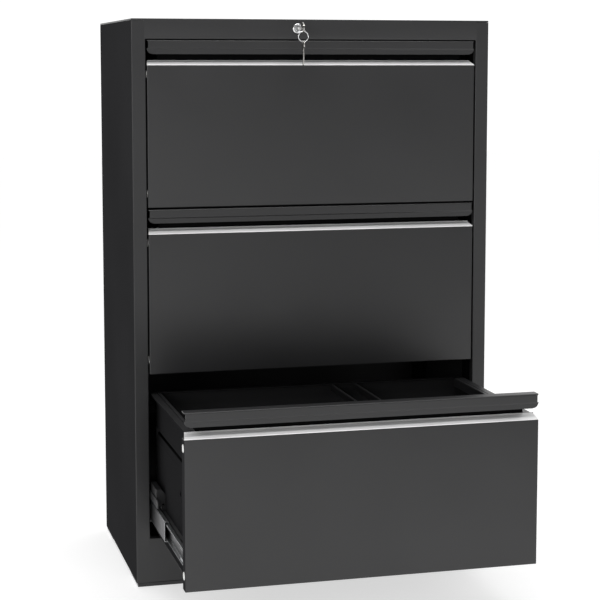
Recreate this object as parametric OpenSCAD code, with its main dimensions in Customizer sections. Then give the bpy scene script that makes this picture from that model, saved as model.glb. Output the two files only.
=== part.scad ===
// Steel filing cabinet: three lateral drawers on ball-bearing slides, full-width pulls and a central lock.
// Millimetres. +X is right, the front faces -Y and +Z is up. The origin is the centre of the base, on the floor.

/* [Cabinet] */
// Overall width
body_w = 668; // [640:1:900]
// Overall depth
body_d = 390; // [380:1:600]
// Overall height
body_h = 1026; // [900:1:1300]
// Width of the stile each side of the drawers
stile_w = 25; // [22:1:40]
// Height of the rail above the top drawer
top_rail_h = 36; // [34:1:60]
// Height of the kick rail's upper edge above the floor
base_h = 90; // [60:1:120]
// Height of the feet
foot_h = 8; // [5:1:20]
// Length of a foot along the front
foot_w = 88; // [50:1:110]
// Length of a foot along the side
foot_d = 75; // [50:1:100]
// Thickness of the sheet steel
sheet = 1; // [0.8:0.1:1.5]

/* [Drawers] */
// Gap above and below each drawer front
gap_z = 1.5; // [1:0.1:4]
// Gap at each end of a drawer front
gap_x = 2.5; // [2:0.1:5]
// Depth of the pan that makes a drawer front
front_t = 20; // [18:1:26]
// How far the bottom drawer stands open
bottom_open = 326; // [0:1:330]
// Height of the pull's zone at the top of a drawer front
pull_h = 44.5; // [40:0.5:60]
// Distance from a front's top edge down to the drawer's rim
rim_drop = 36.5; // [30:0.5:60]
// Clear width between the hanging rails of the wide compartment
file_span = 324; // [300:1:340]
// Clear width between the two middle rails
middle_gap = 45; // [30:1:60]

/* [Slides] */
// Thickness of a slide
slide_t = 12.7; // [12.7:0.1:14]
// Height of a slide's cabinet member
slide_h = 45; // [45:1:52]
// Height of a slide's centre above the bottom of its drawer space
slide_z = 48; // [40:1:60]

/* [Lock] */
// How far left of the centre the lock stands
lock_left = 32.3; // [0:0.1:120]
// Depth of the lock's centre below the cabinet's top
lock_down = 16.3; // [15:0.1:18]
// Radius of the lock's barrel
barrel_r = 8; // [7:0.1:9]
// Radius of the plug that turns
plug_r = 6; // [5.5:0.1:6.5]
// Distance from the plug's axis to the cam's pin
cam_r = 12; // [11:0.1:13]

/* [Hidden] */
DRAWERS = ["top_drawer", "middle_drawer", "bottom_drawer"];
PIECES = ["front_panel", "inner_front", "handle_lip", "handle_strip", "left_side", "right_side", "back",
    "bottom", "hanging_rails", "inner_slides", "mid_slides", "plugs", "striker"];
$fn = 48;

black = "#3d3e40";
dark = "#2a2b2d";
zinc = "#a8aaad";
chrome = "#c9cbce";
silver = "#dcdee0";
plastic = "#202124";
white = "#f2f2f0";

xs = body_w / 2;                 // outer face of a side
yf = -body_d / 2;                // front plane
yb = body_d / 2;                 // back plane
xo = xs - stile_w;               // side of the drawer opening
top_z = body_h - top_rail_h;     // top of the drawer opening
space_h = (top_z - base_h) / len(DRAWERS);
stile_lip = 14;                  // depth of the flange folded back from a stile
rail_lip = 15;                   // depth of the flanges folded back from a rail
back_lip = 18;                   // width of the side panels' rear flanges
post_w = 22;                     // size of a slide post along Y
post_t = 1.5;
post_x = xo - 1;                 // post face that carries a slide

// A drawer's own frame: X from its centre, Y back from its face, Z up from the bottom of its space.
face_x = xo - gap_x;             // half the width of a drawer front
face_top = space_h - gap_z;
pull_z = face_top - pull_h;      // bottom of the pull's zone
box_front = front_t + sheet;     // where the drawer's box starts
hook_y = box_front + 2;          // front of the locking bar's hooks
box_back = body_d - 25;          // outer face of the box's back
floor_z = 10;                    // underside of the drawer's bottom
rim_z = face_top - rim_drop;     // top of the drawer's rim
slide_front = box_front + 1;
post_front = hook_y + 7;         // front post's distance behind the front plane
slide_l = body_d - 40;
wall_low = post_x - slide_t;     // outer face of the drawer's side beside the slide
wall_high = wall_low - 6.3;      // outer face of the side above the slide
rim_x = xo - 7.5;                // outer edge of the rim
rail_in = wall_high - 7;         // inner edge of an end hanging rail
lock_x = -lock_left;
lock_z = body_h - lock_down;
bar_x = -xs + 6;                 // left edge of the locking bar
bar_pin_x = -xs + 28;
link_travel = 2 * cam_r * sin(45);

module both_sides() { children(); mirror([1, 0, 0]) children(); }
module box(low, high) { translate(low) cube(high - low); }
module along_y(from, to) { translate([0, to, 0]) rotate([90, 0, 0]) linear_extrude(to - from) children(); }
module along_x(from, to) {
    translate([from, 0, 0]) rotate([90, 0, 90]) linear_extrude(to - from) children();
}
module rod_y(x, z, r, from, to) { translate([x, to, z]) rotate([90, 0, 0]) cylinder(h = to - from, r = r); }
function opened(i) = i == len(DRAWERS) - 1 ? bottom_open : 0;
function space_z(i) = base_h + (len(DRAWERS) - 1 - i) * space_h;
module in_drawer(i, share = 1) { translate([0, yf - share * opened(i), space_z(i)]) children(); }

// ---------------------------------------------------------------- cabinet
// One sheet: outer side, stile with its folded edge, and rear flange.
module side_panel() {
    translate([0, 0, foot_h]) linear_extrude(body_h - sheet - foot_h) polygon([
        [-xs, yf], [-xo, yf], [-xo, yf + stile_lip], [-xo - sheet, yf + stile_lip],
        [-xo - sheet, yf + sheet], [-xs + sheet, yf + sheet], [-xs + sheet, yb - sheet],
        [-xs + back_lip, yb - sheet], [-xs + back_lip, yb], [-xs, yb]]);
}
module left_side_panel() { color(black) side_panel(); }
module right_side_panel() { color(black) mirror([1, 0, 0]) side_panel(); }
module top_panel() { color(black) box([-xs, yf, body_h - sheet], [xs, yb, body_h]); }

// The back has a row of two holes for wall fixings.
module back_panel() {
    color(black) difference() {
        box([-xs + sheet, yb - 2 * sheet, foot_h], [xs - sheet, yb - sheet, body_h - sheet]);
        both_sides() rod_y(body_w * 0.375, body_h - 46, 3.5, yb - 3 * sheet, yb);
    }
}
module bottom_panel() {
    color(black) box([-post_x, yf + sheet, base_h - 2 * sheet], [post_x, yb - 2 * sheet, base_h - sheet]);
}
// A rail between the stiles, with a flange folded back along each edge.
module rail(low, high) {
    box([-xo, yf, low], [xo, yf + sheet, high]);
    for (z = [low, high - sheet]) box([-xo, yf, z], [xo, yf + rail_lip, z + sheet]);
}
module top_rail() {
    color(black) difference() {
        rail(top_z, body_h - sheet);
        rod_y(lock_x, lock_z, barrel_r + 0.1, yf - 1, yf + 3 * sheet);
    }
}
module kick_rail() { color(black) rail(foot_h, base_h); }

module post(front) {
    flange = post_front + front;
    translate([0, 0, foot_h + 3]) linear_extrude(body_h - foot_h - 5) difference() {
        translate([-xs + sheet, yf + flange]) square([xs - sheet - post_x, post_w]);
        translate([-xs, yf + flange + post_t]) square([xs - post_x - post_t, post_w - 2 * post_t]);
    }
}
// Two uprights a side; the front left one has cleats that guide the locking bar.
module slide_posts() {
    color(dark) {
        both_sides() for (front = [0, body_d - 90]) post(front);
        for (i = [0:len(DRAWERS) - 1])
            box([-xs + sheet, yf + 19.5, space_z(i) + 130], [-xs + 20, yf + post_front, space_z(i) + 142]);
    }
}
module channel(web_x, edge_x, height, t) {
    // Web at web_x, open towards edge_x, centred on Z = 0.
    way = sign(edge_x - web_x);
    translate([min(web_x, web_x + way * t), -height / 2]) square([t, height]);
    for (z = [-height / 2, height / 2 - t])
        translate([min(web_x, edge_x), z]) square([abs(edge_x - web_x), t]);
}
module outer_slides() {
    color(zinc) both_sides() for (i = [0:len(DRAWERS) - 1]) translate([0, yf, space_z(i) + slide_z])
        along_y(slide_front, slide_front + slide_l)
            channel(-post_x, -post_x + 9, slide_h, 1.2);
}
stud_x = xs - foot_w / 2;
module corner_plates() {
    color(dark) both_sides() for (way = [0, 1]) mirror([0, way, 0]) difference() {
        box([-xs + sheet, yf + rail_lip, foot_h + sheet],
            [-xs + foot_w, yf + foot_d, foot_h + sheet + 2]);
        translate([-stud_x, yf + foot_d / 2, 0]) cylinder(h = foot_h + 10, r = 4.2);
    }
}
// Pads with bevelled sides, each on a stud through its corner plate.
module feet() {
    bevel = 2;
    color(dark) both_sides() for (way = [0, 1]) mirror([0, way, 0]) {
        intersection() {
            along_y(yf, yf + foot_d) polygon([[-xs, foot_h], [-xs + bevel, 0],
                [-xs + foot_w - bevel, 0], [-xs + foot_w, foot_h]]);
            along_x(-xs, -xs + foot_w) polygon([[yf, foot_h], [yf + bevel, 0],
                [yf + foot_d - bevel, 0], [yf + foot_d, foot_h]]);
        }
        translate([-stud_x, yf + foot_d / 2, foot_h - 1]) cylinder(h = 10, r = 4);
    }
}
module back_bumpers() {
    color(plastic) both_sides() for (i = [0:len(DRAWERS) - 1])
        rod_y(body_w * 0.3, space_z(i) + space_h / 2, 8, yf + box_back + 0.5, yb - 2 * sheet);
}

// ---------------------------------------------------------------- lock
module lock_housing() {
    color(chrome) difference() {
        union() {
            rod_y(lock_x, lock_z, barrel_r + 1.3, yf - 2.5, yf);
            rod_y(lock_x, lock_z, barrel_r, yf - 1, yf + 22);
        }
        rod_y(lock_x, lock_z, plug_r + 0.05, yf - 3, yf + 23);
    }
}
module lock_nut() {
    color(zinc) translate([lock_x, yf + 5, lock_z]) rotate([90, 0, 0]) difference() {
        cylinder(h = 5 - sheet, r = barrel_r + 4, $fn = 6);
        translate([0, 0, -1]) cylinder(h = 7, r = barrel_r + 0.05);
    }
}
module keyway(side, height) { box([-side / 2, yf - 4, -height / 2], [side / 2, yf + 20, height / 2]); }
module lock_plug() {
    color(zinc) difference() {
        rod_y(lock_x, lock_z, plug_r, yf - 2, yf + 24);
        translate([lock_x, 0, lock_z]) keyway(2.8, 8.8);
    }
}
// The cam's arm points down and left; its pin works in the link's upright slot.
module lock_cam() {
    color(zinc) translate([lock_x, 0, lock_z]) rotate([0, 45, 0]) {
        along_y(yf + 24, yf + 26) {
            circle(r = 6);
            translate([-4, -cam_r]) square([8, cam_r]);
            translate([0, -cam_r]) circle(r = 4);
        }
        rod_y(0, -cam_r, 2, yf + 25, yf + 30);
    }
}
pin_x = lock_x - cam_r * sin(45);
link_low = lock_z - cam_r - 7;
// A strip that the cam moves sideways. Its slanted slot lifts the locking bar.
module lock_link() {
    slot_z = link_low + 8;
    color(zinc) along_y(yf + 27, yf + 29) difference() {
        union() {
            translate([bar_pin_x - link_travel - 6, link_low])
                square([pin_x + 9 - bar_pin_x + link_travel + 6, 16]);
            translate([bar_pin_x - link_travel - 6, link_low]) square([link_travel + 12, 31]);
        }
        // Upright slot for the cam's pin.
        for (dz = [-9, 2]) translate([pin_x, lock_z - cam_r + dz + 3]) circle(r = 2.5);
        translate([pin_x - 2.5, lock_z - cam_r - 6]) square([5, 11]);
        // Slanted slot for the bar's pin.
        for (k = [0:1]) translate([bar_pin_x - k * link_travel, slot_z + k * link_travel]) circle(r = 2.4);
        translate([bar_pin_x, slot_z]) rotate(135) translate([0, -2.4]) square([link_travel * sqrt(2), 4.8]);
    }
}
bar_low = base_h + space_h * 0.5;
catch_z = rim_z - 15;            // lower end of a drawer's catch, in the drawer's own frame
module lock_bar() {
    slot_z = link_low + 8;
    color(zinc) {
        box([bar_x, yf + 16, bar_low], [bar_x + 14, yf + 19, slot_z + 5]);
        box([bar_x, yf + 16, slot_z - 5], [bar_pin_x + 5, yf + 19, slot_z + 5]);
        rod_y(bar_pin_x, slot_z, 2, yf + 18, yf + 29.5);
        for (i = [0:len(DRAWERS) - 1]) translate([0, yf, space_z(i) + catch_z - 18]) {
            box([bar_x, 16, 0], [bar_x + 16, hook_y + 3, 12]);
            box([bar_x + 15, hook_y, 0], [-rim_x + 7, hook_y + 3, 12]);
        }
    }
}
ring_r = 9;
ring_wire = 0.9;
hole_r = 2.7;
bow_y = yf - 36;                 // centre of the key's bow
ring_y = bow_y - 4.5;
hole_z = lock_z - 4.5;           // hole in the key's bow
ring_top = hole_z - hole_r + ring_wire + 0.3;
key_x = lock_x;
module key_outline(length, bow) {
    // Bow centred on the origin, blade of the given length along +X.
    tip = bow + length;
    circle(r = bow);
    translate([bow - 2, -3.4]) square([6, 6.8]);
    difference() {
        translate([bow - 1, -3.2]) square([length + 1, 6.4]);
        for (cut = [0:3]) translate([tip - 5 - cut * 3.5, 3.4]) rotate(45) square([2.2, 2.2], center = true);
        translate([tip - 2.5, 3.2]) rotate(-40) square([8, 4]);
    }
}
// The key stands upright in the keyway; the ring hangs through the hole in its bow.
module key() {
    color(zinc) along_x(key_x - 1.1, key_x + 1.1) translate([bow_y, lock_z]) difference() {
        key_outline(42, 10);
        translate([ring_y - bow_y, hole_z - lock_z]) circle(r = hole_r);
    }
}
module key_ring() {
    color(chrome) translate([key_x, ring_y, ring_top - ring_r]) rotate([90, 0, 0])
        rotate_extrude() translate([ring_r, 0]) circle(r = ring_wire);
}
spare_hole_z = ring_top - 2 * ring_r + ring_wire + 0.4 - hole_r;
module spare_key() {
    color(zinc) along_x(key_x - 1.1, key_x + 1.1) translate([ring_y, spare_hole_z]) difference() {
        translate([0, -4]) rotate(-90) key_outline(29, 7.5);
        circle(r = hole_r);
    }
}

// ---------------------------------------------------------------- drawers
// A pan: face, side flanges, bottom flange and the flange under the pull.
module front_panel() {
    color(black) difference() {
        union() {
            box([-face_x, 0, gap_z], [face_x, sheet, pull_z]);
            both_sides() box([-face_x, 0, gap_z], [-face_x + sheet, front_t, pull_z]);
            for (z = [gap_z, pull_z - sheet]) box([-face_x, 0, z], [face_x, front_t, z + sheet]);
        }
        plug_places() rod_x(-face_x - 2, -face_x + 3, 4);
    }
}
module rod_x(from, to, r) { translate([from, 0, 0]) rotate([0, 90, 0]) cylinder(h = to - from, r = r); }
module plug_places() { both_sides() for (z = [26.5, face_top - 60]) translate([0, 10.5, z]) children(); }
module plugs() {
    color(white) plug_places() {
        rod_x(-face_x - 0.9, -face_x, 7);
        rod_x(-face_x - 0.5, -face_x + 6, 3.9);
    }
}
// Sheet behind the pan; it is narrower behind the pull, whose ends stay open.
module inner_front() {
    color(black) {
        box([-face_x + 2, front_t, gap_z + 2], [face_x - 2, box_front, pull_z + strip_rise]);
        box([-wall_high + 4, front_t, pull_z], [wall_high - 4, box_front, face_top - lip_t]);
    }
}
lip_h = 16.5;     // front face of the lip
band_h = 8.5;     // set-back band below it
cheek_in = 6.5;   // how far a stiffening cheek stands in from each end
lip_t = 1.5;
// Folded lip: rounded top edge, upright face, then a bevel and a set-back band.
module lip_section() {
    round_r = 2.5;
    set_back = 3;
    difference() {
        union() {
            translate([round_r, -round_r]) circle(r = round_r);
            translate([0, -lip_h + set_back]) square([round_r, lip_h - set_back - round_r]);
            translate([round_r, -lip_h + set_back]) square([box_front - round_r, lip_h - set_back]);
            polygon([[0, -lip_h + set_back], [set_back, -lip_h], [set_back, -lip_h - band_h],
                [set_back + lip_t, -lip_h - band_h], [box_front, -lip_h + set_back]]);
        }
        polygon([[round_r, -lip_t], [box_front + 1, -lip_t], [box_front + 1, -lip_h - band_h - 1],
            [set_back + lip_t, -lip_h - band_h - 1], [set_back + lip_t, -lip_h - 0.4],
            [lip_t, -lip_h + set_back - 0.6], [lip_t, -round_r]]);
    }
}
module lip_ends() {
    // Front view of the lip, with rounded lower corners.
    corner = 11;
    low = -lip_h - band_h;
    w = 2 * face_x;
    translate([-face_x, low + corner]) square([w, -low - corner + 1]);
    translate([-face_x + corner, low]) square([w - 2 * corner, corner + 1]);
    for (k = [-1, 1]) translate([k * (face_x - corner), low + corner]) circle(r = corner);
}
// The lip has a stiffening cheek behind each end.
module handle_lip() {
    color(black) translate([0, 0, face_top]) {
        intersection() {
            along_x(-face_x, face_x) lip_section();
            along_y(-1, box_front + 1) lip_ends();
        }
        both_sides() box([-face_x + cheek_in, 4, -lip_h - band_h + 3], [-face_x + cheek_in + 2, box_front, -lip_t]);
    }
}
// Sloping strip under the finger space.
strip_rise = 9;
module handle_strip() {
    color(silver) translate([0, 0, pull_z]) along_x(-face_x, face_x)
        polygon([[0, 0], [front_t, strip_rise], [front_t, strip_rise - 1.2], [3, 0]]);
}
// Side of the drawer's box: it steps out to meet the slide, and has a pressed groove, a rim and a cut-out.
module drawer_side() {
    groove_z = rim_z - 90;
    difference() {
        union() {
            along_y(box_front, box_back - sheet) {
                outer = [[wall_low, floor_z + sheet], [wall_low, slide_z + 14], [wall_high, slide_z + 15],
                    [wall_high, groove_z], [wall_high - 8, groove_z + 18], [wall_high, groove_z + 23],
                    [wall_high, rim_z]];
                n = len(outer);
                polygon(concat([for (p = outer) [-p[0], p[1]]],
                    [for (k = [n - 1:-1:0]) [-outer[k][0] + sheet, outer[k][1]]]));
                translate([-rim_x, rim_z - sheet]) square([rim_x - wall_high + sheet, sheet]);
            }
            // Catch that the locking bar holds.
            box([-rim_x, hook_y + 5, catch_z], [-wall_high - 2, hook_y + 7, rim_z - 0.5]);
        }
        // Arrow-shaped cut-out.
        translate([0, 131, groove_z - 60]) along_x(-wall_high - 2, -wall_high + 2 * sheet)
            polygon([[-2.5, 0], [2.5, 0], [2.5, 15], [8, 15], [0, 30], [-8, 15], [-2.5, 15]]);
    }
}
module left_side() { color(black) drawer_side(); }
module right_side() { color(black) mirror([1, 0, 0]) drawer_side(); }
module back() {
    color(black) {
        box([-wall_high, box_back - sheet, floor_z + sheet], [wall_high, box_back, rim_z]);
        box([-rail_in, box_back - 12, rim_z - sheet], [rail_in, box_back, rim_z]);
    }
}
module bottom() { color(black) box([-wall_low, box_front, floor_z], [wall_low, box_back, floor_z + sheet]); }
// Four bars from front to back that hanging folders hook over.
module hanging_rails() {
    rail_top = rim_z - sheet;
    left_rail = -rail_in + file_span;
    color(dark) {
        both_sides() {
            box([-wall_high + sheet, box_front, rim_z - sheet], [-rail_in, box_back - 13, rim_z]);
            box([-rail_in - 1.5, box_front, rim_z - 16], [-rail_in, box_back - sheet, rim_z - sheet]);
        }
        for (x = [left_rail, left_rail + middle_gap]) {
            box([x, box_front, rim_z - 16], [x + 2, box_back - sheet, rail_top]);
            box([x - 2, box_front, rail_top - 1], [x + 4, box_back - sheet, rail_top]);
        }
    }
}
module inner_slides() {
    color(zinc) both_sides() translate([0, 0, slide_z]) along_y(slide_front, box_back - 3)
        channel(-wall_low, -wall_low - 7.7, 28, 1.2);
}
module mid_slides() {
    color(zinc) both_sides() translate([0, 0, slide_z]) along_y(slide_front + 11, slide_front + slide_l - 4)
        channel(-post_x + 2.5, -post_x + 10.5, 36, 1.2);
}
// Plastic block and plate that work the interlock, beside the left slide.
module striker() {
    start = 276;
    length = 60;
    low = slide_z + slide_h / 2 + 1;
    high = low + 31;
    outer = -post_x + 0.6;
    step_x = -wall_low - 1;
    color(plastic) {
        difference() {
            along_y(start, start + length) polygon([[outer + 2, low], [step_x, low], [step_x, low - 8],
                [-wall_high, low - 8], [-wall_high, high - 9], [-wall_high - 7, high], [outer + 2, high]]);
            rod_y(-wall_high - 4, low + 3, 1.8, start - 1, start + 12);
        }
        along_x(outer, outer + 2.1) {
            translate([start - 17, low + 1]) square([length + 17, 15]);
            translate([start - 17, low + 8.5]) circle(r = 7.5);
        }
    }
}

left_side_panel();
right_side_panel();
top_panel();
back_panel();
bottom_panel();
top_rail();
kick_rail();
slide_posts();
outer_slides();
corner_plates();
feet();
back_bumpers();
lock_housing();
lock_nut();
lock_plug();
lock_cam();
lock_link();
lock_bar();
key();
key_ring();
spare_key();
for (i = [0:len(DRAWERS) - 1]) {
    d = DRAWERS[i];
    in_drawer(i) front_panel();
    in_drawer(i) inner_front();
    in_drawer(i) handle_lip();
    in_drawer(i) handle_strip();
    in_drawer(i) left_side();
    in_drawer(i) right_side();
    in_drawer(i) back();
    in_drawer(i) bottom();
    in_drawer(i) hanging_rails();
    in_drawer(i) inner_slides();
    in_drawer(i, 0.5) mid_slides();
    in_drawer(i) plugs();
    in_drawer(i) striker();
}
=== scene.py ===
"""Finished surfaces of a three-drawer steel filing cabinet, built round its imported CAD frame.

Sizes are millimetres in the cabinet's frame, or in a drawer's own frame: X from the drawer's centre,
Y back from its face, Z up from the bottom of its space. MM turns them into the frame's metres.
"""
import math

import bmesh
import bpy
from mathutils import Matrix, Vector


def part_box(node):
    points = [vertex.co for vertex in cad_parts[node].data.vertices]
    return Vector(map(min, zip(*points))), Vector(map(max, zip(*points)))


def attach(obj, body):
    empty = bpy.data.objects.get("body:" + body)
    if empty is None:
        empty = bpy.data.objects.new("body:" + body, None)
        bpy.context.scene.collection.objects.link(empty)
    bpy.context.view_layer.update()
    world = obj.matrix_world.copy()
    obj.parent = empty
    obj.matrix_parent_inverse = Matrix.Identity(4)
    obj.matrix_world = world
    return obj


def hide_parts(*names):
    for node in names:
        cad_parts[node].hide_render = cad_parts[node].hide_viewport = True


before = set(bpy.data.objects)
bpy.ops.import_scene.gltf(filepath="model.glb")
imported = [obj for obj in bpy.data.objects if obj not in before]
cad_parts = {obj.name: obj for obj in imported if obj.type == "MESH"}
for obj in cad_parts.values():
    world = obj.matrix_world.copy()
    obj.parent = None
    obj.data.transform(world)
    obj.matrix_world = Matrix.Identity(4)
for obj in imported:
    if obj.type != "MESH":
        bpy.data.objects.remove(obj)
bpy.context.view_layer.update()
MM = 0.001
DRAWERS = ("top_drawer", "middle_drawer", "bottom_drawer")


def box_mm(node):
    """Lowest and highest corner of a CAD node, in millimetres."""
    low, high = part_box(node)
    return low / MM, high / MM


# ------------------------------------------------------------------ sizes from the frame
side_low, side_high = box_mm("left_side_panel")
XS, YF, YB = -side_low.x, side_low.y, side_high.y      # outer side, front plane, back plane
FOOT_H = side_low.z
XO = -side_high.x                                      # side of the drawer opening
TOP = box_mm("top_panel")[1].z
TOP_Z = box_mm("top_rail")[0].z                        # upper edge of the drawer opening
BASE_Z = box_mm("kick_rail")[1].z                      # lower edge of the drawer opening
SHEET = 1.0                                            # thickness of the sheet metal
BEND = 1.6                                             # outer radius of a folded edge
LID_RIM = 3.2                                          # depth of the top panel's folded rim
SEAM = 0.35                                            # gap under the top panel's rim

front_low, front_high = box_mm("top_drawer_front_panel")
wall_start, wall_end = box_mm("top_drawer_left_side")
GAP_Z = 1.5                                            # gap under each front
FACE_X = front_high.x                                  # half the front's width
FRONT_T = front_high.y - front_low.y                   # depth of the front pan
PULL_Z = front_high.z - front_low.z + GAP_Z            # the front pan's top, under the pull
FACE_TOP = box_mm("top_drawer_handle_lip")[1].z - front_low.z + GAP_Z
BOX_FRONT = wall_start.y - front_low.y                 # front and back of the drawer's box
WALL_BACK = wall_end.y - front_low.y
FLOOR_Z = wall_start.z - front_low.z + GAP_Z
RIM_Z = wall_end.z - front_low.z + GAP_Z               # the box's rim: height, outer side, fold
RIM_X = -wall_start.x
HEM = 3.0
OUTER_W, OUTER_H, OUTER_CURL = 9, 45, 3                # slide members: depth, height, curled edge
MID_W, MID_H, MID_CURL = 8, 36, 2.6
INNER_W, INNER_H, INNER_CURL = 7.7, 28, 2.4
SLIDE_T, SLIDE_R, SLIDE_Z = 1.2, 1.8, 48.0             # their sheet, folds and mid height
SLIDE_FRONT = BOX_FRONT + 1
MID_LAG, MID_GAP = 11, 2.5                             # the middle member starts later and further in
WALL_LOW = -box_mm("top_drawer_inner_slides")[0].x - INNER_W
WALL_HIGH = WALL_LOW - 6.3                             # the wall is further in above the slide
GROOVE_Z = RIM_Z - 90
RAIL_IN = WALL_HIGH - 7                                # inner edge of the rails along the walls


def drawer_origin(drawer):
    """A drawer's own frame in the cabinet's, in millimetres."""
    low = box_mm(drawer + "_front_panel")[0]
    return Vector((0, low.y, low.z - GAP_Z))


# ------------------------------------------------------------------ shapes
def along_x(p, s):
    return (s, p[0], p[1])


def along_y(p, s):
    return (p[0], s, p[1])


def along_z(p, s):
    return (p[0], p[1], s)


class Shape:
    """Vertices in millimetres and faces, gathered before they become one object."""

    def __init__(self):
        self.verts, self.faces = [], []

    def add(self, verts, faces):
        base = len(self.verts)
        self.verts += [Vector(v) for v in verts]
        self.faces += [[base + i for i in f] for f in faces]
        return self

    def join(self, *others):
        for other in others:
            self.add(other.verts, other.faces)
        return self

    def moved(self, offset):
        out = Shape()
        return out.add([v + Vector(offset) for v in self.verts], self.faces)

    def mirrored(self):
        out = Shape()
        return out.add([Vector((-v.x, v.y, v.z)) for v in self.verts], [f[::-1] for f in self.faces])

    def both_sides(self):
        return Shape().join(self, self.mirrored())


def arc(centre, start, end, radius, steps):
    """Points on a circle from one angle to another, in degrees."""
    out = []
    for k in range(steps + 1):
        a = math.radians(start + (end - start) * k / steps)
        out.append(Vector((centre[0] + radius * math.cos(a), centre[1] + radius * math.sin(a))))
    return out


def corner(a, b, c, radius, steps):
    """The arc that rounds corner b between a and c."""
    to_a, to_c = a - b, c - b
    half = to_a.angle(to_c) / 2
    if radius <= 0 or half > math.radians(88):
        return [b]
    reach = min(radius / math.tan(half), 0.48 * to_a.length, 0.48 * to_c.length)
    centre = b + (to_a.normalized() + to_c.normalized()).normalized() * (reach / math.cos(half))
    spoke = b + to_a.normalized() * reach - centre
    turn = (math.pi - 2 * half) * (-1 if to_a.cross(to_c) > 0 else 1)
    out = []
    for k in range(steps + 1):
        c_, s_ = math.cos(turn * k / steps), math.sin(turn * k / steps)
        out.append(centre + Vector((spoke.x * c_ - spoke.y * s_, spoke.x * s_ + spoke.y * c_)))
    return out


def rounded(points, radius, closed=False, steps=4):
    """A line of (u, v) points with its corners rounded; radius is one number or one per point."""
    pts = [Vector(p) for p in points]
    radii = radius if isinstance(radius, (list, tuple)) else [radius] * len(pts)
    if closed:
        n = len(pts)
        return [q for i in range(n) for q in corner(pts[i - 1], pts[i], pts[(i + 1) % n], radii[i], steps)]
    out = [pts[0]]
    for i in range(1, len(pts) - 1):
        out += corner(pts[i - 1], pts[i], pts[i + 1], radii[i], steps)
    return out + [pts[-1]]


def densified(line, step):
    out = [line[0]]
    for a, b in zip(line, line[1:]):
        n = max(1, math.ceil((b - a).length / step))
        out += [a.lerp(b, k / n) for k in range(1, n + 1)]
    return out


def offset(line, t):
    """The line moved t to its right."""
    out = []
    for i, p in enumerate(line):
        ways = []
        if i:
            ways.append((p - line[i - 1]).normalized())
        if i < len(line) - 1:
            ways.append((line[i + 1] - p).normalized())
        normals = [Vector((w.y, -w.x)) for w in ways]
        if len(normals) == 2:
            n = (normals[0] + normals[1]) / max(0.2, 1 + normals[0].dot(normals[1]))
        else:
            n = normals[0]
        out.append(p + n * t)
    return out


def bent_sheet(path, t, place, ends, radius=BEND, steps=4, step=None):
    """Sheet metal: thickness t to the right of the path, swept between ends, with rounded folds.
    ends is (from, to), or a function that gives them for a point of the path."""
    line = rounded(path, radius, steps=steps)
    if step:
        line = densified(line, step)
    verts = []
    for p, q in zip(line, offset(line, t)):
        a, b = ends(p) if callable(ends) else ends
        verts += [place(p, a), place(p, b), place(q, a), place(q, b)]
    faces = []
    for i in range(0, 4 * (len(line) - 1), 4):
        j = i + 4
        faces += [(i, i + 1, j + 1, j), (i + 2, j + 2, j + 3, i + 3), (i, j, j + 2, i + 2),
                  (i + 1, i + 3, j + 3, j + 1)]
    last = 4 * len(line) - 4
    faces += [(0, 2, 3, 1), (last, last + 1, last + 3, last + 2)]
    return Shape().add(verts, faces)


def prism(outline, place, start, end):
    n = len(outline)
    verts = [place(p, start) for p in outline] + [place(p, end) for p in outline]
    faces = [list(range(n)), list(range(2 * n - 1, n - 1, -1))]
    faces += [(i, i + n, (i + 1) % n + n, (i + 1) % n) for i in range(n)]
    return Shape().add(verts, faces)


def slab(low, high):
    corners = ((low[0], low[1]), (high[0], low[1]), (high[0], high[1]), (low[0], high[1]))
    return prism([Vector(p) for p in corners], along_z, low[2], high[2])


def stack(low, high, corner_r, rings, place, steps=3):
    """A closed form of rounded rectangles; each ring is (position along the stack, inset)."""
    verts, faces, n = [], [], 4 * (steps + 1)
    for s, inset in rings:
        a, b = Vector(low) + Vector((inset, inset)), Vector(high) - Vector((inset, inset))
        r = max(corner_r - inset, 0.05)
        loop = rounded([a, (b.x, a.y), b, (a.x, b.y)], r, closed=True, steps=steps)
        verts += [place(p, s) for p in loop]
    for k in range(len(rings) - 1):
        i = k * n
        faces += [(i + j, i + (j + 1) % n, i + n + (j + 1) % n, i + n + j) for j in range(n)]
    faces += [list(range(n)), list(range((len(rings) - 1) * n, len(rings) * n))]
    return Shape().add(verts, faces)


def pan_rings(depth, radius, t, steps=4):
    """Rings of a folded pan from its face round its rim to the inside of its face."""
    def quarter(r, start):
        turns = [math.pi / 2 * k / steps for k in range(steps + 1)]
        return [(start + r - r * math.sin(a), start + r - r * math.cos(a)) for a in turns]
    return quarter(radius, 0)[::-1] + [(depth, 0), (depth, t)] + quarter(max(radius - t, 0.3), t)


def turned(profile, centre, axis, count=48, loop=False):
    """A turned form: profile points are (radius, position along the axis)."""
    verts, faces = [], []
    n = len(profile)
    for k in range(count):
        a = 2 * math.pi * k / count
        for r, s in profile:
            u, v = r * math.cos(a), r * math.sin(a)
            local = {"x": (s, u, v), "y": (u, s, v), "z": (u, v, s)}[axis]
            verts.append(Vector(centre) + Vector(local))
    for k in range(count):
        a, b = k * n, (k + 1) % count * n
        faces += [(a + i, a + i + 1, b + i + 1, b + i) for i in range(n - 1)]
        if loop:
            faces.append((a + n - 1, a, b, b + n - 1))
    if not loop:
        faces += [[k * n for k in range(count)], [k * n + n - 1 for k in range(count)][::-1]]
    return Shape().add(verts, faces)


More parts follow.
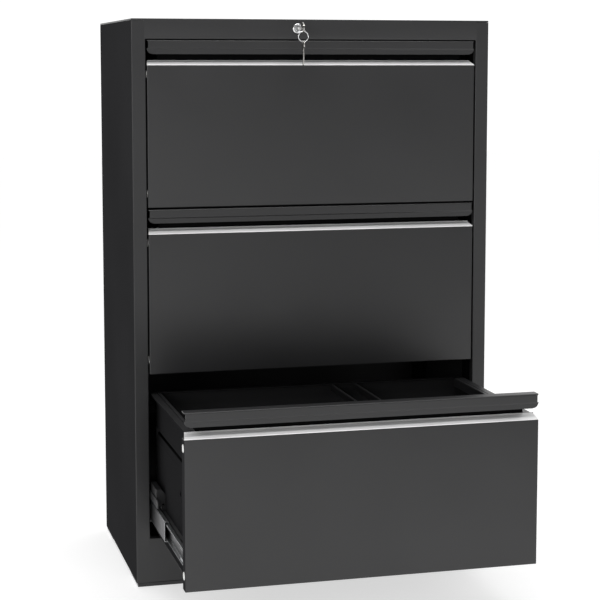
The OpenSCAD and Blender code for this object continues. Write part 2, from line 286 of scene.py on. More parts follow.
# ------------------------------------------------------------------ objects
def mesh_object(name, shape):
    mesh = bpy.data.meshes.new(name)
    mesh.from_pydata([v * MM for v in shape.verts], [], shape.faces)
    bm = bmesh.new()
    bm.from_mesh(mesh)
    bmesh.ops.remove_doubles(bm, verts=bm.verts, dist=1e-7)
    bmesh.ops.recalc_face_normals(bm, faces=bm.faces)
    for face in bm.faces:
        face.smooth = True
    bm.to_mesh(mesh)
    bm.free()
    obj = bpy.data.objects.new(name, mesh)
    bpy.context.scene.collection.objects.link(obj)
    return obj


def cut(obj, *cutters):
    """Takes the cutter shapes out of the object's mesh."""
    for shape in cutters:
        tool = mesh_object("cutter", shape)
        mod = obj.modifiers.new("cut", "BOOLEAN")
        mod.operation, mod.solver, mod.object = "DIFFERENCE", "EXACT", tool
        bpy.context.view_layer.update()
        evaluated = obj.evaluated_get(bpy.context.evaluated_depsgraph_get())
        result = bpy.data.meshes.new_from_object(evaluated)
        obj.modifiers.clear()
        obj.data = result
        bpy.data.objects.remove(tool)


EDGE_ANGLE = math.radians(38)                          # a sharper fold than this is an edge


def dressed(obj, body, material, bevel=0.25):
    """Rounds the edges, gives the material and puts the piece on its body."""
    if bevel:
        mod = obj.modifiers.new("edges", "BEVEL")
        mod.width, mod.segments = bevel * MM, 2
        mod.limit_method, mod.angle_limit = "ANGLE", EDGE_ANGLE
        obj.modifiers.new("normals", "WEIGHTED_NORMAL").keep_sharp = True
    else:
        obj.data.set_sharp_from_angle(angle=EDGE_ANGLE)
    obj.data.materials.clear()
    obj.data.materials.append(MATERIALS[material])
    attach(obj, body)
    return obj


def piece(node, shape, body, material, bevel=0.25, cutters=()):
    """One finished piece that stands for one CAD node."""
    obj = mesh_object(node + "_finish", shape)
    cut(obj, *cutters)
    dressed(obj, body, material, bevel)
    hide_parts(node)
    return obj


def refinished(obj, material, chosen):
    """Gives another finish to the chosen faces."""
    obj.data.materials.append(MATERIALS[material])
    for face in obj.data.polygons:
        if chosen(face):
            face.material_index = len(obj.data.materials) - 1


def faced(obj, material, normal, at_least):
    """Gives another finish to the faces that look along a normal."""
    refinished(obj, material, lambda face: face.normal.dot(Vector(normal)) > at_least)


# ------------------------------------------------------------------ materials
def new_material(name, colour, roughness, metallic=0.0):
    mat = bpy.data.materials.new(name)
    mat.use_nodes = True
    bsdf = mat.node_tree.nodes["Principled BSDF"]
    bsdf.inputs["Base Color"].default_value = (*colour, 1)
    bsdf.inputs["Roughness"].default_value = roughness
    bsdf.inputs["Metallic"].default_value = metallic
    mat.diffuse_color = (*colour, 1)
    return mat, bsdf


def noise(mat, scale, detail=2.0, stretch=(1, 1, 1)):
    """Noise in the object's own space; scale is features to a metre."""
    nodes, links = mat.node_tree.nodes, mat.node_tree.links
    coords = nodes.new("ShaderNodeTexCoord")
    mapping = nodes.new("ShaderNodeMapping")
    mapping.inputs["Scale"].default_value = stretch
    tex = nodes.new("ShaderNodeTexNoise")
    tex.inputs["Scale"].default_value = scale
    tex.inputs["Detail"].default_value = detail
    links.new(coords.outputs["Object"], mapping.inputs["Vector"])
    links.new(mapping.outputs["Vector"], tex.inputs["Vector"])
    return tex


def varied(mat, bsdf, socket, tex, low, high):
    """Drives a number of the shader from a noise."""
    ramp = mat.node_tree.nodes.new("ShaderNodeMapRange")
    ramp.inputs["From Min"].default_value, ramp.inputs["From Max"].default_value = 0.3, 0.7
    ramp.inputs["To Min"].default_value, ramp.inputs["To Max"].default_value = low, high
    mat.node_tree.links.new(tex.outputs["Fac"], ramp.inputs["Value"])
    mat.node_tree.links.new(ramp.outputs["Result"], bsdf.inputs[socket])


def toned(mat, bsdf, tex, first, second):
    """Drives the colour from a noise between two colours."""
    ramp = mat.node_tree.nodes.new("ShaderNodeValToRGB")
    ramp.color_ramp.elements[0].position, ramp.color_ramp.elements[1].position = 0.35, 0.65
    ramp.color_ramp.elements[0].color = (*first, 1)
    ramp.color_ramp.elements[1].color = (*second, 1)
    mat.node_tree.links.new(tex.outputs["Fac"], ramp.inputs["Fac"])
    mat.node_tree.links.new(ramp.outputs["Color"], bsdf.inputs["Base Color"])


def bumped(mat, bsdf, layers):
    """Bump from (noise, strength, height in metres) layers, the coarse ones first."""
    links, below = mat.node_tree.links, None
    for tex, strength, height in layers:
        bump = mat.node_tree.nodes.new("ShaderNodeBump")
        bump.inputs["Strength"].default_value = strength
        bump.inputs["Distance"].default_value = height
        links.new(tex.outputs["Fac"], bump.inputs["Height"])
        if below:
            links.new(below.outputs["Normal"], bump.inputs["Normal"])
        below = bump
    links.new(below.outputs["Normal"], bsdf.inputs["Normal"])


def powder_coat(name, tone, gloss, rough):
    """Satin powder coat: a fine orange peel on slightly uneven sheet."""
    mat, bsdf = new_material(name, (tone, tone, tone * 1.04), rough)
    bsdf.inputs["Specular IOR Level"].default_value = gloss
    cloud, peel, grain = noise(mat, 3.5, 2), noise(mat, 420, 2), noise(mat, 1500, 1)
    toned(mat, bsdf, cloud, (tone * 0.93, tone * 0.93, tone * 0.97),
          (tone * 1.07, tone * 1.07, tone * 1.12))
    varied(mat, bsdf, "Roughness", noise(mat, 9, 3), rough - 0.03, rough + 0.04)
    bumped(mat, bsdf, [(noise(mat, 5, 1), 0.25, 0.0012), (peel, 0.16, 0.0003), (grain, 0.06, 0.0002)])
    return mat


def brushed(name, colour, metallic, low, high, stretch, scale=900, strength=0.08):
    """Metal with fine lines; stretch is small along the lines."""
    mat, bsdf = new_material(name, colour, (low + high) / 2, metallic)
    lines = noise(mat, scale, 2, stretch)
    varied(mat, bsdf, "Roughness", lines, low, high)
    toned(mat, bsdf, noise(mat, 14, 2), tuple(c * 0.95 for c in colour),
          tuple(min(1, c * 1.04) for c in colour))
    bumped(mat, bsdf, [(lines, strength, 0.0002)])
    return mat


def moulded(name, colour, roughness, scale=900, strength=0.12):
    """Moulded plastic or rubber with a fine grain."""
    mat, bsdf = new_material(name, colour, roughness)
    varied(mat, bsdf, "Roughness", noise(mat, 60, 3), roughness * 0.92, min(1, roughness * 1.08))
    toned(mat, bsdf, noise(mat, 40, 2), tuple(c * 0.94 for c in colour),
          tuple(c * 1.05 for c in colour))
    bumped(mat, bsdf, [(noise(mat, scale, 2), strength, 0.0002)])
    return mat


# The left side and the fronts' end flanges take the paint without its sheen, and the drawers' walls darker
# copies outside and in:
# painted shade; so is the near-black paint on inner sheet, recesses, the groove and faces turned down.
MATERIALS = {
    "charcoal_paint": powder_coat("charcoal_paint", 0.018, 0.55, 0.40),
    "charcoal_side_shaded": powder_coat("charcoal_side_shaded", 0.028, 0.0, 0.80),
    "drawer_inside_shaded": powder_coat("drawer_inside_shaded", 0.016, 0.18, 0.60),
    "charcoal_wall_shaded": powder_coat("charcoal_wall_shaded", 0.018, 0.0, 0.80),
    "painted_shade_black": powder_coat("painted_shade_black", 0.0028, 0.03, 0.75),
    "silver_strip": brushed("silver_strip", (0.97, 0.97, 0.97), 0.10, 0.38, 0.48, (0.02, 1, 1)),
    "slide_steel": brushed("slide_steel", (0.52, 0.53, 0.54), 1.0, 0.28, 0.42, (1, 0.03, 1), 700),
    # Darker copies of the slide steel for the flat webs: painted shade.
    "slide_web_shaded": brushed("slide_web_shaded", (0.13, 0.13, 0.135), 1.0, 0.34, 0.46, (1, 0.03, 1), 700),
    "slide_deep_shaded": brushed("slide_deep_shaded", (0.075, 0.075, 0.077), 1.0, 0.40, 0.52, (1, 0.03, 1), 700),
    "lock_chrome": brushed("lock_chrome", (0.86, 0.86, 0.87), 1.0, 0.06, 0.12, (1, 1, 1), 300, 0.02),
    "key_steel": brushed("key_steel", (0.46, 0.45, 0.43), 1.0, 0.16, 0.28, (1, 0.2, 1), 1400, 0.10),
    "black_plastic": moulded("black_plastic", (0.014, 0.014, 0.015), 0.48),
    "foot_plastic": moulded("foot_plastic", (0.012, 0.012, 0.013), 0.50),
    # Light grey for the feet's side faces: painted highlight.
    "foot_side_highlight": moulded("foot_side_highlight", (0.42, 0.42, 0.43), 0.45),
    "white_plastic": moulded("white_plastic", (0.82, 0.82, 0.80), 0.28, 500, 0.05),
    "bumper_rubber": moulded("bumper_rubber", (0.020, 0.020, 0.021), 0.75),
}

# ------------------------------------------------------------------ cabinet
STILE_LIP, RAIL_LIP, BACK_LIP = 14, 15, 18             # folded edges of stile, rails and rear flange


def side_panel():
    """Outer side, stile with its folded edge, and rear flange, folded from one sheet."""
    path = [(-XO, YF + STILE_LIP), (-XO, YF), (-XS, YF), (-XS, YB), (-XS + BACK_LIP, YB)]
    return bent_sheet(path, SHEET, along_z, (FOOT_H, TOP - LID_RIM - SEAM))


left_panel = piece("left_side_panel", side_panel(), "cabinet", "charcoal_paint", 0.2)
# The left side's outer face takes the paint without its sheen: painted shade.
faced(left_panel, "charcoal_side_shaded", (-1, 0, 0), 0.9)
piece("right_side_panel", side_panel().mirrored(), "cabinet", "charcoal_paint", 0.2)
lid = stack((-XS, YF), (XS, YB), BEND, pan_rings(LID_RIM, BEND, SHEET),
            lambda p, s: (p[0], p[1], TOP - s))
piece("top_panel", lid, "cabinet", "charcoal_paint", 0)


def rail(low, high, low_r, high_r):
    """A rail between the stiles with a flange folded back along each edge."""
    path = [(YF + RAIL_LIP, low), (YF, low), (YF, high), (YF + RAIL_LIP, high)]
    return bent_sheet(path, SHEET, along_x, (-XO - BEND, XO + BEND), [0, low_r, high_r, 0])


housing_low, housing_high = box_mm("lock_housing")
LOCK_X, LOCK_Z = (housing_low.x + housing_high.x) / 2, (housing_low.z + housing_high.z) / 2
RIM_R = (housing_high.x - housing_low.x) / 2
BARREL_R, PLUG_R = 8.0, 6.0
BARREL_END, PLUG_END = YF + 22, YF + 24
lock_hole = turned([(BARREL_R + 0.1, YF - 3), (BARREL_R + 0.1, YF + 3)], (LOCK_X, 0, LOCK_Z), "y")
piece("top_rail", rail(TOP_Z, TOP - LID_RIM, BEND, 0), "cabinet", "charcoal_paint", 0, [lock_hole])
piece("kick_rail", rail(FOOT_H, BASE_Z, 1.0, BEND), "cabinet", "charcoal_paint", 0)

feet_high = box_mm("feet")[1]
FOOT_W, FOOT_D, FOOT_R = 88, 75, 4
STUD_R = 4
foot = Shape()
for y0 in (YF, YB - FOOT_D):
    rings = [(0.0, 3.2), (0.35, 2.5), (1.0, 2.0), (FOOT_H - 1.2, 0.25), (FOOT_H - 0.5, 0.1),
             (FOOT_H - 0.1, 0.5), (FOOT_H, 1.2)]
    foot.join(stack((-XS, y0), (-XS + FOOT_W, y0 + FOOT_D), FOOT_R, rings, along_z, 5))
    stud = [(STUD_R, FOOT_H - 1), (STUD_R, feet_high.z - 0.8), (STUD_R - 0.8, feet_high.z)]
    foot.join(turned(stud, (-XS + FOOT_W / 2, y0 + FOOT_D / 2, 0), "z", 24))
feet = piece("feet", foot.both_sides(), "cabinet", "foot_plastic", 0)
# The feet's side faces get a light grey: painted highlight.
faced(feet, "foot_side_highlight", (1, 0, 0), 0.6)
faced(feet, "foot_side_highlight", (-1, 0, 0), 0.6)

BUMPER_R = 8
bumpers = Shape()
low, high = box_mm("back_bumpers")
for d in DRAWERS:
    z = drawer_origin(d).z + (TOP_Z - BASE_Z) / 6      # halfway up the drawer
    profile = [(BUMPER_R - 2.5, low.y), (BUMPER_R - 0.8, low.y + 0.5), (BUMPER_R, low.y + 1.6),
               (BUMPER_R, high.y)]
    bumpers.join(turned(profile, (low.x + BUMPER_R, 0, z), "y", 32))
piece("back_bumpers", bumpers.both_sides(), "cabinet", "bumper_rubber", 0)

# Low dome screws that hold the back panel to the side panels' rear flanges.
SCREW_ROWS, SCREW_END, SCREW_IN = 5, 60, 14
back_low, back_high = box_mm("back_panel")
dome = [(0.02, YB - 0.15), (1.6, YB - 0.2), (3.0, YB - 0.42), (3.8, YB - 0.7), (4.1, YB - SHEET),
        (4.1, YB - 1.6)]
screws = Shape()
for k in range(SCREW_ROWS):
    span = back_high.z - back_low.z - 2 * SCREW_END
    z = back_low.z + SCREW_END + span * k / (SCREW_ROWS - 1)
    screws.join(turned(dome, (-XS + BACK_LIP + SCREW_IN, 0, z), "y", 24))
dressed(mesh_object("back_screws", screws.both_sides()), "cabinet", "slide_steel", 0)


# ------------------------------------------------------------------ slides
def slide_member(web, edge, height, curl, start, end):
    """A channel along Y on the left side: its web at x = web, its flanges out to x = edge, and its
    edges curled in over the balls."""
    lo, hi = SLIDE_Z - height / 2, SLIDE_Z + height / 2
    path = [(edge, lo + curl), (edge, lo), (web, lo), (web, hi), (edge, hi), (edge, hi - curl)]
    if edge < web:
        path = path[::-1]
    return bent_sheet(path, SLIDE_T, along_y, (start, end), SLIDE_R)


BALLS, BALL_PITCH, BALL_START, BALL_OUT, BALL_Z = 6, 7, 10, 4.6, 9.5


def ball_row(z):
    """Bearing balls that show at the front of the inner member."""
    ball = [(0.02, -2.4), (1.2, -2.05), (2.05, -1.2), (2.4, 0), (2.05, 1.2), (1.2, 2.05), (0.02, 2.4)]
    places = [SLIDE_FRONT + BALL_START + BALL_PITCH * k for k in range(BALLS)]
    return [turned(ball, (-WALL_LOW - BALL_OUT, y, z), "x", 16) for y in places]


def webs(obj, material="slide_web_shaded"):
    """Gives the flat webs of a slide darker copies of its steel, painted shade, while the rolled edges stay
    light.
    """
    faced(obj, material, (1, 0, 0), 0.8)
    faced(obj, material, (-1, 0, 0), 0.8)


outer_low, outer_high = box_mm("outer_slides")
slides = Shape()
for d in DRAWERS:
    origin = Vector((0, 0, drawer_origin(d).z))
    slides.join(slide_member(outer_low.x, outer_low.x + OUTER_W, OUTER_H, OUTER_CURL, outer_low.y,
                             outer_high.y).moved(origin))
webs(piece("outer_slides", slides.both_sides(), "cabinet", "slide_steel", 0.3))

# ------------------------------------------------------------------ lock and keys
lock = (LOCK_X, 0, LOCK_Z)
front = housing_low.y
ring_profile = [(PLUG_R + 0.05, YF + 20), (PLUG_R + 0.05, front + 0.9), (PLUG_R + 0.4, front + 0.35),
                (PLUG_R + 1.0, front + 0.05), (PLUG_R + 1.8, front), (RIM_R - 0.9, front + 0.25),
                (RIM_R - 0.3, front + 0.8), (RIM_R, front + 1.6), (RIM_R, YF), (BARREL_R, YF),
                (BARREL_R, BARREL_END), (PLUG_R + 0.05, BARREL_END)]
piece("lock_housing", turned(ring_profile, lock, "y", 64, loop=True), "cabinet", "lock_chrome", 0)
plug_front = box_mm("lock_plug")[0].y
plug_profile = [(0.01, plug_front), (PLUG_R - 0.6, plug_front), (PLUG_R - 0.15, plug_front + 0.2),
                (PLUG_R, plug_front + 0.7), (PLUG_R, PLUG_END), (0.01, PLUG_END)]
KEYWAY_X, KEYWAY_Z = 1.4, 4.4
keyway = slab((LOCK_X - KEYWAY_X, YF - 4, LOCK_Z - KEYWAY_Z),
              (LOCK_X + KEYWAY_X, YF + 20, LOCK_Z + KEYWAY_Z))
piece("lock_plug", turned(plug_profile, lock, "y", 48), "lock_plug", "slide_steel", 0, [keyway])


BLADE, TOOTH_PITCH = 3.2, 3.5                          # half the blade's width; the teeth's spacing


def key_outline(bow, length, teeth):
    """A key's outline: the bow about the origin and the blade along +u."""
    half = BLADE
    start = math.degrees(math.asin(half / bow))
    out = arc((0, 0), start, 360 - start, bow, 40)
    tip = bow + length
    out += [Vector(p) for p in ((tip - 3.5, -half), (tip, -0.6), (tip, 0.9), (tip - 2.2, half))]
    for k in range(teeth):
        u = tip - 5 - k * TOOTH_PITCH
        depth = (1.5, 0.9, 1.7, 1.1, 1.4)[k % 5]
        notch = ((u + depth, half), (u + 0.3, half - depth), (u - 0.3, half - depth), (u - depth, half))
        out += [Vector(p) for p in notch]
    return out


key_low, key_high = box_mm("key")
HOLE_R, HOLE_DROP = 2.7, 4.5                           # the bow's hole is below its middle
ring_low, ring_high = box_mm("key_ring")
ring_y, ring_z = (ring_low.y + ring_high.y) / 2, (ring_low.z + ring_high.z) / 2
WIRE = (ring_high.y - ring_low.y) / 2
RING_R = (ring_high.z - ring_low.z) / 2 - WIRE
KEY_BOW, SPARE_BOW = 10, 7.5
bow_y = key_low.y + KEY_BOW
key_hole = turned([(HOLE_R, key_low.x - 1), (HOLE_R, key_high.x + 1)], (0, ring_y, LOCK_Z - HOLE_DROP),
                  "x", 32)
key_shape = prism(key_outline(KEY_BOW, key_high.y - bow_y - KEY_BOW, 4), along_x, key_low.x, key_high.x)
piece("key", key_shape.moved((0, bow_y, LOCK_Z)), "key", "key_steel", 0.3, [key_hole])
spare_low, spare_high = box_mm("spare_key")
spare_z = spare_high.z - SPARE_BOW
spare_hole = turned([(HOLE_R, spare_low.x - 1), (HOLE_R, spare_high.x + 1)], (0, ring_y, spare_z + 4),
                    "x", 32)
spare_shape = prism(key_outline(SPARE_BOW, spare_z - spare_low.z - SPARE_BOW, 5),
                    lambda p, s: (s, p[1], -p[0]), spare_low.x, spare_high.x)
piece("spare_key", spare_shape.moved((0, ring_y, spare_z)), "spare_key", "key_steel", 0.3, [spare_hole])
wire = [(RING_R + p.x, p.y) for p in arc((0, 0), 0, 330, WIRE, 11)]
ring_shape = turned(wire, (key_low.x / 2 + key_high.x / 2, ring_y, ring_z), "y", 64, loop=True)
piece("key_ring", ring_shape, "key_ring", "lock_chrome", 0)

# ------------------------------------------------------------------ drawers
LIP_H, BAND_H, SET_BACK, LIP_T = 16.5, 8.5, 1.6, 1.5   # the lip's face, the band under it, its sheet
LOW_CORNER, TOP_CORNER = 11.0, 2.5                     # the lip's corners below and in plan
CHEEK_IN = 6.5
STRIP_RISE, STRIP_T = 9.0, 0.9


def round_in(distance, radius):
    """How far a corner of this radius pulls the end in, this far before the edge."""
    if distance >= radius:
        return 0.0
    return radius - math.sqrt(max(0.0, radius * radius - (radius - distance) ** 2))


def lip_ends(p):
    """The lip's ends at a point of its section: rounded in plan at the front, and below in the front view."""
    y, z = p[0], p[1] - FACE_TOP
    inset = round_in(y, TOP_CORNER) if z > -LIP_H + SET_BACK else 0
    inset = max(inset, round_in(max(0, z + LIP_H + BAND_H), LOW_CORNER))
    return -FACE_X + inset, FACE_X - inset


def handle_lip():
    """Folded lip: set-back band, bevel, upright face and rounded top edge."""
    path = [(SET_BACK, -LIP_H - BAND_H), (SET_BACK, -LIP_H), (0, -LIP_H + SET_BACK), (0, 0), (BOX_FRONT, 0)]
    path = [(y, z + FACE_TOP) for y, z in path]
    return bent_sheet(path, LIP_T, along_x, lip_ends, [0, 1.6, 2.4, 2.5, 0], steps=6, step=1.4)


def strip_ends(p):
    """The strip narrows a little towards its back edge."""
    inset = 3.5 * p[0] / FRONT_T
    return -FACE_X + inset, FACE_X - inset


def handle_strip():
    """Sloping strip under the finger space: its front edge is rolled and its back edge turns up."""
    back, top = FRONT_T - 0.3, PULL_Z + STRIP_RISE
    path = [(0.1, PULL_Z + 0.05), (0.1, PULL_Z + 1.2), (back - 2, top - 1.6), (back, top)]
    return bent_sheet(path, STRIP_T, along_x, strip_ends, [0, 0.9, 2.0, 0], steps=6)


def cheeks():
    """Stiffening plates behind the lip's ends."""
    x, low = -FACE_X + CHEEK_IN, FACE_TOP - LIP_H - BAND_H + 3
    outline = rounded([(6, low), (BOX_FRONT, low), (BOX_FRONT, FACE_TOP - LIP_T), (4, FACE_TOP - LIP_T),
                       (4, low + 2)], [1, 1, 0, 0, 1], closed=True)
    return prism(outline, along_x, x, x + LIP_T).both_sides()


def front_pan():
    rings = pan_rings(FRONT_T, BEND, SHEET)
    return stack((-FACE_X, GAP_Z), (FACE_X, PULL_Z), 1.2, rings, along_y)


CAP_Y, CAP_Z = 10.5, (26.5, FACE_TOP - 60)             # where the round plugs stand on the pan's ends
CAP_R, SHANK_R, SHANK_HOLE_R = 7, 3.9, 4


def plug_holes():
    hole = [(SHANK_HOLE_R, -FACE_X - 2), (SHANK_HOLE_R, -FACE_X + 3)]
    return [Shape().join(*[turned(hole, (0, CAP_Y, z), "x", 24) for z in CAP_Z]).both_sides()]


def plugs():
    x = -FACE_X
    profile = [(0.01, x - 0.9), (4.5, x - 0.86), (6.0, x - 0.62), (6.8, x - 0.3), (CAP_R, x), (SHANK_R, x),
               (SHANK_R, x + 6), (0.01, x + 6)]
    return Shape().join(*[turned(profile, (0, CAP_Y, z), "x", 40) for z in CAP_Z]).both_sides()


def drawer_side():
    """The side steps out to meet the slide, and has a pressed groove and a folded rim."""
    x, t = WALL_HIGH, SHEET
    path = [(-WALL_LOW, FLOOR_Z), (-WALL_LOW, SLIDE_Z + 14), (-x, SLIDE_Z + 15.5), (-x, GROOVE_Z),
            (-x + 2, GROOVE_Z + 14), (-x + 8, GROOVE_Z + 16), (-x + 8, GROOVE_Z + 18), (-x, GROOVE_Z + 23),
            (-x, RIM_Z - t), (-RIM_X, RIM_Z - t)]
    radii = [0, 1, 1, 2.5, 0.8, 0.8, 0.8, 1.6, 1.6, 0]
    sheet = bent_sheet(path, t, along_y, (BOX_FRONT, WALL_BACK), radii, steps=4)
    # The rim's outer fold turns down, and its sheet stays on the outer side of the line.
    hem = bent_sheet([(-RIM_X + t, RIM_Z - HEM), (-RIM_X + t, RIM_Z - t * 0.9)][::-1], t, along_y,
                     (BOX_FRONT, WALL_BACK), 0)
    catch = slab((-RIM_X + 0.2, 28, RIM_Z - 15), (-x - 2, 30, RIM_Z - t - 0.1))
    return sheet.join(hem, catch)


def in_groove(base):
    """Tests for faces inside the pressed groove, which take the near-black paint as painted shade."""
    def test(face):
        x, z = abs(face.center.x) / MM, face.center.z / MM - base
        return GROOVE_Z + 13.5 < z < GROOVE_Z + 23 and x < WALL_HIGH - 1.5
    return test


ARROW_Y, ARROW_DROP = 131, 60                          # from the drawer's face; below the groove


def arrow():
    """Arrow-shaped cut-out."""
    points = [(-2.5, 0), (2.5, 0), (2.5, 15), (8, 15), (0, 30), (-8, 15), (-2.5, 15)]
    outline = [Vector((ARROW_Y + u, GROOVE_Z - ARROW_DROP + v)) for u, v in points]
    return prism(outline, along_x, -WALL_HIGH - 3, -WALL_HIGH + 3)


BACK_RIM = 12                                          # the drawer back's folded rim


def drawer_back():
    back_y = box_mm("top_drawer_back")[1].y - front_low.y

    def ends(p):
        w = RAIL_IN if p[0] < back_y - 2 else WALL_HIGH
        return -w, w
    path = [(back_y - BACK_RIM, RIM_Z), (back_y, RIM_Z), (back_y, FLOOR_Z)]
    return bent_sheet(path, SHEET, along_x, ends, BEND)


BARS_X = (324, 369)                                    # the middle bars, from the left wall's rail


def hanging_rails():
    """Bars from front to back that hanging folders hook over."""
    edge = bent_sheet([(-WALL_HIGH + SHEET, RIM_Z), (-RAIL_IN, RIM_Z), (-RAIL_IN, RIM_Z - 16)], 1.0, along_y,
                      (BOX_FRONT, WALL_BACK - BACK_RIM), 1.4)
    shape, top = edge.both_sides(), RIM_Z - SHEET
    for x in (-RAIL_IN + bar for bar in BARS_X):
        path = [(x - 2, top - 3), (x - 2, top), (x + 2, top), (x + 2, top - 15)]
        shape.join(bent_sheet(path, 1.0, along_y, (BOX_FRONT, WALL_BACK - 0.2), 1.2))
    return shape


BLOCK_FRONT, BLOCK_BACK, BLOCK_H = 276, 336, 31        # back from the drawer's face; height


def striker():
    """Moulded block with a bevelled corner, and the plate beside it."""
    start, end, low = BLOCK_FRONT, BLOCK_BACK, SLIDE_Z + OUTER_H / 2 + 1
    high, outer, step_x = low + BLOCK_H, -RIM_X - 5.9, -WALL_LOW - 1
    section = [(outer + 2, low), (step_x, low), (step_x, low - 8), (-WALL_HIGH, low - 8),
               (-WALL_HIGH, high - 9), (-WALL_HIGH - 7, high), (outer + 2, high)]
    block = prism([Vector(p) for p in section], along_y, start, end)
    nose = arc((start - 17, low + 8.5), 90, 270, 7.5, 14)
    plate = nose + [Vector((end, low + 1)), Vector((end, low + 16))]
    return block.join(prism(plate, along_x, outer, outer + 2.1))


mid_low, mid_high = box_mm("top_drawer_mid_slides")
MID_FRONT = SLIDE_FRONT + MID_LAG
MID_END = MID_FRONT + (mid_high.y - mid_low.y)
strip_shape, lip_shape, side_shape = handle_strip(), handle_lip().join(cheeks()), drawer_side()
for d in DRAWERS:
    at = drawer_origin(d)
    panel = piece(d + "_front_panel", front_pan().moved(at), d, "charcoal_paint", 0,
                  [s.moved(at) for s in plug_holes()])
    # The pan's end flanges take the paint without its sheen: painted shade.
    faced(panel, "charcoal_side_shaded", (-1, 0, 0), 0.8)
    faced(panel, "charcoal_side_shaded", (1, 0, 0), 0.8)
    piece(d + "_handle_lip", lip_shape.moved(at), d, "charcoal_paint", 0.3)
    piece(d + "_handle_strip", strip_shape.moved(at), d, "silver_strip", 0.15)
    for side, shape, way in (("_left_side", side_shape, -1), ("_right_side", side_shape.mirrored(), 1)):
        hole = arrow() if way < 0 else arrow().mirrored()
        wall = piece(d + side, shape.moved(at), d, "charcoal_paint", 0.15, [hole.moved(at)])
        # The wall's outer face takes the paint without its sheen and its inner face a darker copy: painted
        # shade.
        faced(wall, "charcoal_wall_shaded", (way, 0, 0), 0.3)
        faced(wall, "drawer_inside_shaded", (-way, 0, 0), 0.3)
        # Faces turned down and the pressed groove get the near-black paint: painted shade.
        faced(wall, "painted_shade_black", (0, 0, -1), 0.5)
        refinished(wall, "painted_shade_black", in_groove(at.z))
    back = piece(d + "_back", drawer_back().moved(at), d, "charcoal_paint", 0.15)
    # The back's inner face takes the darker copy of the paint: painted shade.
    faced(back, "drawer_inside_shaded", (0, -1, 0), 0.5)
    piece(d + "_hanging_rails", hanging_rails().moved(at), d, "charcoal_paint", 0.15)
    piece(d + "_plugs", plugs().moved(at), d, "white_plastic", 0)
    hole = turned([(1.8, BLOCK_FRONT - 1), (1.8, BLOCK_FRONT + 12)], (-WALL_HIGH - 4, 0, SLIDE_Z + 26.5),
                  "y", 20)
    piece(d + "_striker", striker().moved(at), d, "black_plastic", 0.4, [hole.moved(at)])
    inner = slide_member(-WALL_LOW, -WALL_LOW - INNER_W, INNER_H, INNER_CURL, SLIDE_FRONT, WALL_BACK - 2)
    for z in (SLIDE_Z - BALL_Z, SLIDE_Z + BALL_Z):
        inner.join(*ball_row(z))
    webs(piece(d + "_inner_slides", inner.both_sides().moved(at), d, "slide_steel", 0.35), "slide_deep_shaded")
    mid_at = Vector((0, box_mm(d + "_mid_slides")[0].y - MID_FRONT, at.z))
    web = outer_low.x + MID_GAP
    mid = slide_member(web, web + MID_W, MID_H, MID_CURL, MID_FRONT, MID_END)
    webs(piece(d + "_mid_slides", mid.both_sides().moved(mid_at), d + "_mid", "slide_steel", 0.35))

# ------------------------------------------------------------------ CAD parts that keep their own shape
# The inner sheet, posts, lock bar and inner fronts take the near-black paint, and the drawer bottoms a darker
# copy of the paint: painted shade.
KEPT = {
    "back_panel": "charcoal_paint", "bottom_panel": "painted_shade_black", "slide_posts": "painted_shade_black",
    "corner_plates": "charcoal_paint", "lock_nut": "slide_steel", "lock_cam": "slide_steel",
    "lock_link": "slide_steel", "lock_bar": "painted_shade_black",
}
for d in DRAWERS:
    KEPT[d + "_inner_front"], KEPT[d + "_bottom"] = "painted_shade_black", "drawer_inside_shaded"
for name, material in KEPT.items():
    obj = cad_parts[name]
    if obj.material_slots:
        for slot in obj.material_slots:
            slot.material = MATERIALS[material]
    else:
        obj.data.materials.append(MATERIALS[material])

# ------------------------------------------------------------------ floor, light and camera
floor_mat, floor_bsdf = new_material("studio_floor", (0.6, 0.6, 0.6), 0.9)
floor_bsdf.inputs["Specular IOR Level"].default_value = 0.0
floor_bsdf.inputs["Emission Color"].default_value = (1, 1, 1, 1)
floor_bsdf.inputs["Emission Strength"].default_value = 0.62
floor_mesh = bpy.data.meshes.new("studio_floor")
FLOOR = 14.0                                           # metres from the middle to each side
floor_corners = [(-FLOOR, -FLOOR, 0), (FLOOR, -FLOOR, 0), (FLOOR, FLOOR, 0), (-FLOOR, FLOOR, 0)]
floor_mesh.from_pydata(floor_corners, [], [(0, 1, 2, 3)])
floor = bpy.data.objects.new("studio_floor", floor_mesh)
floor_mesh.materials.append(floor_mat)
bpy.context.scene.collection.objects.link(floor)


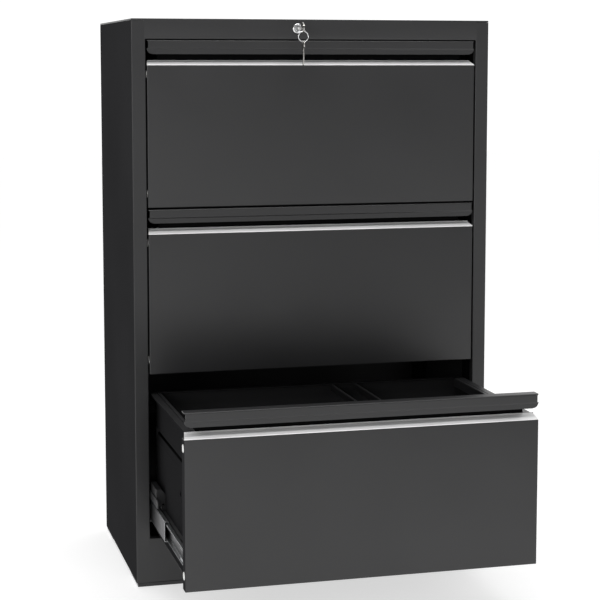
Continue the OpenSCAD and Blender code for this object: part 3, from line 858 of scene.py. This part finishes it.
def world_light(front, back, left):
    """Soft studio surroundings: white behind the object, dimmer in front and on the left."""
    world = bpy.data.worlds.new("studio")
    world.use_nodes = True
    nodes, links = world.node_tree.nodes, world.node_tree.links
    coords, split = nodes.new("ShaderNodeTexCoord"), nodes.new("ShaderNodeSeparateXYZ")
    links.new(coords.outputs["Generated"], split.inputs["Vector"])

    def ramp(axis, from_min, from_max, to_min, to_max):
        node = nodes.new("ShaderNodeMapRange")
        node.interpolation_type = "SMOOTHSTEP"
        values = {"From Min": from_min, "From Max": from_max, "To Min": to_min, "To Max": to_max}
        for socket, value in values.items():
            node.inputs[socket].default_value = value
        links.new(split.outputs[axis], node.inputs["Value"])
        return node
    depth, side = ramp("Y", -0.35, 0.25, front, back), ramp("X", -0.95, -0.25, left, 1.0)
    both = nodes.new("ShaderNodeMath")
    both.operation = "MULTIPLY"
    links.new(depth.outputs["Result"], both.inputs[0])
    links.new(side.outputs["Result"], both.inputs[1])
    links.new(both.outputs["Value"], nodes["Background"].inputs["Strength"])
    nodes["Background"].inputs["Color"].default_value = (1, 1, 1, 1)
    bpy.context.scene.world = world


def softbox(name, place, target, size, power):
    light = bpy.data.lights.new(name, "AREA")
    light.shape, light.size, light.size_y, light.energy = "RECTANGLE", size[0], size[1], power
    obj = bpy.data.objects.new(name, light)
    obj.location = place
    obj.rotation_euler = (Vector(target) - Vector(place)).to_track_quat("-Z", "Y").to_euler()
    bpy.context.scene.collection.objects.link(obj)


world_light(front=0.26, back=1.1, left=0.35)
softbox("overhead", (0.0, -1.5, 3.0), (0, -0.3, 0.6), (2.4, 0.5), 34)
softbox("front", (-2.6, -3.8, 1.3), (0, -0.3, 0.5), (1.6, 1.4), 40)

LENS, SHIFT = 98.63, -0.10
PLACE, PITCH, YAW = (-0.7886, -3.0770, 0.9451), 0.1063, -0.2581
camera_data = bpy.data.cameras.new("camera")
camera_data.sensor_width, camera_data.lens, camera_data.shift_y = 36, LENS, SHIFT
camera_data.clip_end = 100
camera = bpy.data.objects.new("camera", camera_data)
camera.location = PLACE
camera.rotation_euler = (math.pi / 2 - PITCH, 0, YAW)
bpy.context.scene.collection.objects.link(camera)
bpy.context.scene.camera = camera
bpy.context.scene.view_settings.view_transform = "Standard"
